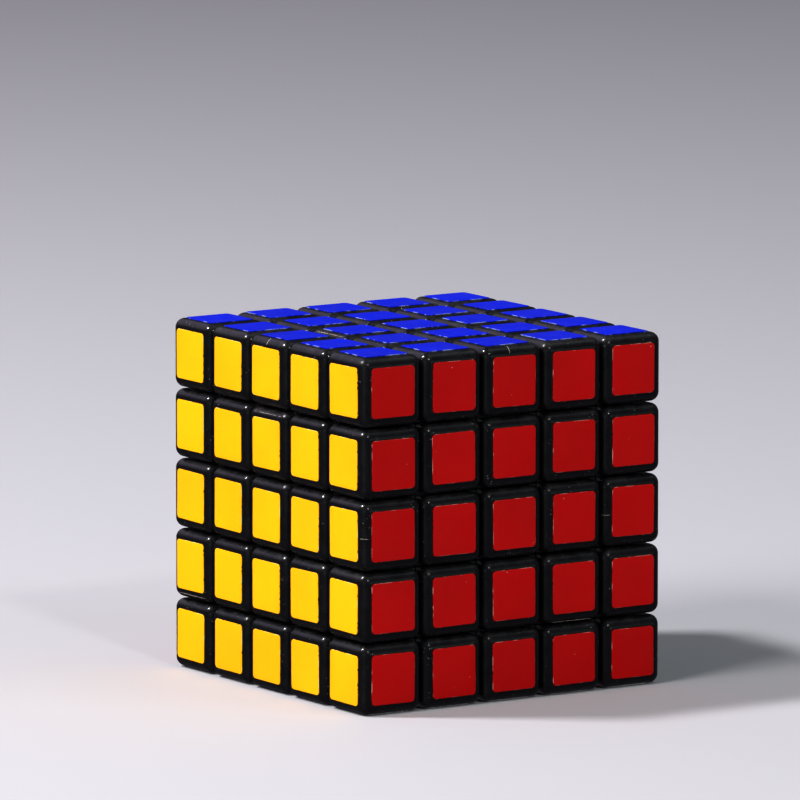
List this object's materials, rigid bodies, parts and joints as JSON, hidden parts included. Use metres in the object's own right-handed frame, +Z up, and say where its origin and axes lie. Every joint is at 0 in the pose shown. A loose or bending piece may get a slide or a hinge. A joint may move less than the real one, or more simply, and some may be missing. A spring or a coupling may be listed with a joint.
{
  "type": "twisty puzzle cube",
  "caption": "Twisty puzzle cube of small black blocks with square coloured stickers, whose outer layers turn about a sprung core.",
  "frame": {"origin": "centre of the core, which is the centre of the cube", "axes": "+Z up through the blue face, -Y out of the red face, -X out of the yellow face"},
  "size_m": [0.0654, 0.0654, 0.0654],
  "materials": {
    "black_plastic": "moulded ABS, satin gloss",
    "core_plastic": "moulded plastic, matte",
    "screw_steel": "zinc plated",
    "spring_steel": "drawn wire",
    "sticker_blue": "vinyl sticker, soft gloss",
    "sticker_white": "vinyl sticker, soft gloss",
    "sticker_red": "vinyl sticker, soft gloss",
    "sticker_orange": "vinyl sticker, soft gloss",
    "sticker_yellow": "vinyl sticker, soft gloss",
    "sticker_green": "vinyl sticker, soft gloss"
  },
  "bodies": {
    "core": {"core": "core_plastic", "axle_screws": "screw_steel", "spring_washers": "screw_steel", "tension_springs": "spring_steel"},
    "top_centre": {"top_centre_pieces": "black_plastic", "top_centre_stickers": "sticker_blue"},
    "bottom_centre": {"bottom_centre_pieces": "black_plastic", "bottom_centre_stickers": "sticker_white"},
    "front_centre": {"front_centre_pieces": "black_plastic", "front_centre_stickers": "sticker_red"},
    "back_centre": {"back_centre_pieces": "black_plastic", "back_centre_stickers": "sticker_orange"},
    "left_centre": {"left_centre_pieces": "black_plastic", "left_centre_stickers": "sticker_yellow"},
    "right_centre": {"right_centre_pieces": "black_plastic", "right_centre_stickers": "sticker_green"},
    "top_front_edge": {"top_front_edge_pieces": "black_plastic", "top_front_edge_top_stickers": "sticker_blue", "top_front_edge_front_stickers": "sticker_red"},
    "top_back_edge": {"top_back_edge_pieces": "black_plastic", "top_back_edge_top_stickers": "sticker_blue", "top_back_edge_back_stickers": "sticker_orange"},
    "top_left_edge": {"top_left_edge_pieces": "black_plastic", "top_left_edge_top_stickers": "sticker_blue", "top_left_edge_left_stickers": "sticker_yellow"},
    "top_right_edge": {"top_right_edge_pieces": "black_plastic", "top_right_edge_top_stickers": "sticker_blue", "top_right_edge_right_stickers": "sticker_green"},
    "bottom_front_edge": {"bottom_front_edge_pieces": "black_plastic", "bottom_front_edge_bottom_stickers": "sticker_white", "bottom_front_edge_front_stickers": "sticker_red"},
    "bottom_back_edge": {"bottom_back_edge_pieces": "black_plastic", "bottom_back_edge_bottom_stickers": "sticker_white", "bottom_back_edge_back_stickers": "sticker_orange"},
    "bottom_left_edge": {"bottom_left_edge_pieces": "black_plastic", "bottom_left_edge_bottom_stickers": "sticker_white", "bottom_left_edge_left_stickers": "sticker_yellow"},
    "bottom_right_edge": {"bottom_right_edge_pieces": "black_plastic", "bottom_right_edge_bottom_stickers": "sticker_white", "bottom_right_edge_right_stickers": "sticker_green"},
    "front_left_edge": {"front_left_edge_pieces": "black_plastic", "front_left_edge_front_stickers": "sticker_red", "front_left_edge_left_stickers": "sticker_yellow"},
    "front_right_edge": {"front_right_edge_pieces": "black_plastic", "front_right_edge_front_stickers": "sticker_red", "front_right_edge_right_stickers": "sticker_green"},
    "back_left_edge": {"back_left_edge_pieces": "black_plastic", "back_left_edge_back_stickers": "sticker_orange", "back_left_edge_left_stickers": "sticker_yellow"},
    "back_right_edge": {"back_right_edge_pieces": "black_plastic", "back_right_edge_back_stickers": "sticker_orange", "back_right_edge_right_stickers": "sticker_green"},
    "top_front_left_corner": {"top_front_left_corner_piece": "black_plastic"},
    "top_front_right_corner": {"top_front_right_corner_piece": "black_plastic"},
    "top_back_left_corner": {"top_back_left_corner_piece": "black_plastic"},
    "top_back_right_corner": {"top_back_right_corner_piece": "black_plastic"},
    "bottom_front_left_corner": {"bottom_front_left_corner_piece": "black_plastic"},
    "bottom_front_right_corner": {"bottom_front_right_corner_piece": "black_plastic"},
    "bottom_back_left_corner": {"bottom_back_left_corner_piece": "black_plastic"},
    "bottom_back_right_corner": {"bottom_back_right_corner_piece": "black_plastic"}
  },
  "joints": [
    {"name": "top_turn", "type": "hinge", "parent": "core", "child": "top_centre", "pos_m": [0, 0, 0], "axis": [0, 0, 1], "range_deg": [-180, 180]},
    {"name": "bottom_turn", "type": "hinge", "parent": "core", "child": "bottom_centre", "pos_m": [0, 0, 0], "axis": [0, 0, -1], "range_deg": [-180, 180]},
    {"name": "front_turn", "type": "hinge", "parent": "core", "child": "front_centre", "pos_m": [0, 0, 0], "axis": [0, -1, 0], "range_deg": [-180, 180]},
    {"name": "back_turn", "type": "hinge", "parent": "core", "child": "back_centre", "pos_m": [0, 0, 0], "axis": [0, 1, 0], "range_deg": [-180, 180]},
    {"name": "left_turn", "type": "hinge", "parent": "core", "child": "left_centre", "pos_m": [0, 0, 0], "axis": [-1, 0, 0], "range_deg": [-180, 180]},
    {"name": "right_turn", "type": "hinge", "parent": "core", "child": "right_centre", "pos_m": [0, 0, 0], "axis": [1, 0, 0], "range_deg": [-180, 180]},
    {"name": "top_front_edge_turn", "type": "hinge", "parent": "front_centre", "child": "top_front_edge", "pos_m": [0, 0, 0], "axis": [0, 0, 1], "range_deg": [-180, 180]},
    {"name": "top_back_edge_turn", "type": "hinge", "parent": "back_centre", "child": "top_back_edge", "pos_m": [0, 0, 0], "axis": [0, 0, 1], "range_deg": [-180, 180]},
    {"name": "top_left_edge_turn", "type": "hinge", "parent": "left_centre", "child": "top_left_edge", "pos_m": [0, 0, 0], "axis": [0, 0, 1], "range_deg": [-180, 180]},
    {"name": "top_right_edge_turn", "type": "hinge", "parent": "right_centre", "child": "top_right_edge", "pos_m": [0, 0, 0], "axis": [0, 0, 1], "range_deg": [-180, 180]},
    {"name": "bottom_front_edge_turn", "type": "hinge", "parent": "front_centre", "child": "bottom_front_edge", "pos_m": [0, 0, 0], "axis": [0, 0, -1], "range_deg": [-180, 180]},
    {"name": "bottom_back_edge_turn", "type": "hinge", "parent": "back_centre", "child": "bottom_back_edge", "pos_m": [0, 0, 0], "axis": [0, 0, -1], "range_deg": [-180, 180]},
    {"name": "bottom_left_edge_turn", "type": "hinge", "parent": "left_centre", "child": "bottom_left_edge", "pos_m": [0, 0, 0], "axis": [0, 0, -1], "range_deg": [-180, 180]},
    {"name": "bottom_right_edge_turn", "type": "hinge", "parent": "right_centre", "child": "bottom_right_edge", "pos_m": [0, 0, 0], "axis": [0, 0, -1], "range_deg": [-180, 180]},
    {"name": "front_left_edge_turn", "type": "hinge", "parent": "left_centre", "child": "front_left_edge", "pos_m": [0, 0, 0], "axis": [0, -1, 0], "range_deg": [-180, 180]},
    {"name": "front_right_edge_turn", "type": "hinge", "parent": "right_centre", "child": "front_right_edge", "pos_m": [0, 0, 0], "axis": [0, -1, 0], "range_deg": [-180, 180]},
    {"name": "back_left_edge_turn", "type": "hinge", "parent": "left_centre", "child": "back_left_edge", "pos_m": [0, 0, 0], "axis": [0, 1, 0], "range_deg": [-180, 180]},
    {"name": "back_right_edge_turn", "type": "hinge", "parent": "right_centre", "child": "back_right_edge", "pos_m": [0, 0, 0], "axis": [0, 1, 0], "range_deg": [-180, 180]},
    {"name": "top_front_left_corner_turn", "type": "hinge", "parent": "front_left_edge", "child": "top_front_left_corner", "pos_m": [0, 0, 0], "axis": [0, 0, 1], "range_deg": [-180, 180]},
    {"name": "top_front_right_corner_turn", "type": "hinge", "parent": "front_right_edge", "child": "top_front_right_corner", "pos_m": [0, 0, 0], "axis": [0, 0, 1], "range_deg": [-180, 180]},
    {"name": "top_back_left_corner_turn", "type": "hinge", "parent": "back_left_edge", "child": "top_back_left_corner", "pos_m": [0, 0, 0], "axis": [0, 0, 1], "range_deg": [-180, 180]},
    {"name": "top_back_right_corner_turn", "type": "hinge", "parent": "back_right_edge", "child": "top_back_right_corner", "pos_m": [0, 0, 0], "axis": [0, 0, 1], "range_deg": [-180, 180]},
    {"name": "bottom_front_left_corner_turn", "type": "hinge", "parent": "front_left_edge", "child": "bottom_front_left_corner", "pos_m": [0, 0, 0], "axis": [0, 0, -1], "range_deg": [-180, 180]},
    {"name": "bottom_front_right_corner_turn", "type": "hinge", "parent": "front_right_edge", "child": "bottom_front_right_corner", "pos_m": [0, 0, 0], "axis": [0, 0, -1], "range_deg": [-180, 180]},
    {"name": "bottom_back_left_corner_turn", "type": "hinge", "parent": "back_left_edge", "child": "bottom_back_left_corner", "pos_m": [0, 0, 0], "axis": [0, 0, -1], "range_deg": [-180, 180]},
    {"name": "bottom_back_right_corner_turn", "type": "hinge", "parent": "back_right_edge", "child": "bottom_back_right_corner", "pos_m": [0, 0, 0], "axis": [0, 0, -1], "range_deg": [-180, 180]}
  ],
  "couplings": [
    {"joint": "top_front_edge_turn", "follows": "top_turn", "ratio": 1},
    {"joint": "top_back_edge_turn", "follows": "top_turn", "ratio": 1},
    {"joint": "top_left_edge_turn", "follows": "top_turn", "ratio": 1},
    {"joint": "top_right_edge_turn", "follows": "top_turn", "ratio": 1},
    {"joint": "bottom_front_edge_turn", "follows": "bottom_turn", "ratio": 1},
    {"joint": "bottom_back_edge_turn", "follows": "bottom_turn", "ratio": 1},
    {"joint": "bottom_left_edge_turn", "follows": "bottom_turn", "ratio": 1},
    {"joint": "bottom_right_edge_turn", "follows": "bottom_turn", "ratio": 1},
    {"joint": "front_left_edge_turn", "follows": "front_turn", "ratio": 1},
    {"joint": "front_right_edge_turn", "follows": "front_turn", "ratio": 1},
    {"joint": "back_left_edge_turn", "follows": "back_turn", "ratio": 1},
    {"joint": "back_right_edge_turn", "follows": "back_turn", "ratio": 1},
    {"joint": "top_front_left_corner_turn", "follows": "top_turn", "ratio": 1},
    {"joint": "top_front_right_corner_turn", "follows": "top_turn", "ratio": 1},
    {"joint": "top_back_left_corner_turn", "follows": "top_turn", "ratio": 1},
    {"joint": "top_back_right_corner_turn", "follows": "top_turn", "ratio": 1},
    {"joint": "bottom_front_left_corner_turn", "follows": "bottom_turn", "ratio": 1},
    {"joint": "bottom_front_right_corner_turn", "follows": "bottom_turn", "ratio": 1},
    {"joint": "bottom_back_left_corner_turn", "follows": "bottom_turn", "ratio": 1},
    {"joint": "bottom_back_right_corner_turn", "follows": "bottom_turn", "ratio": 1}
  ]
}
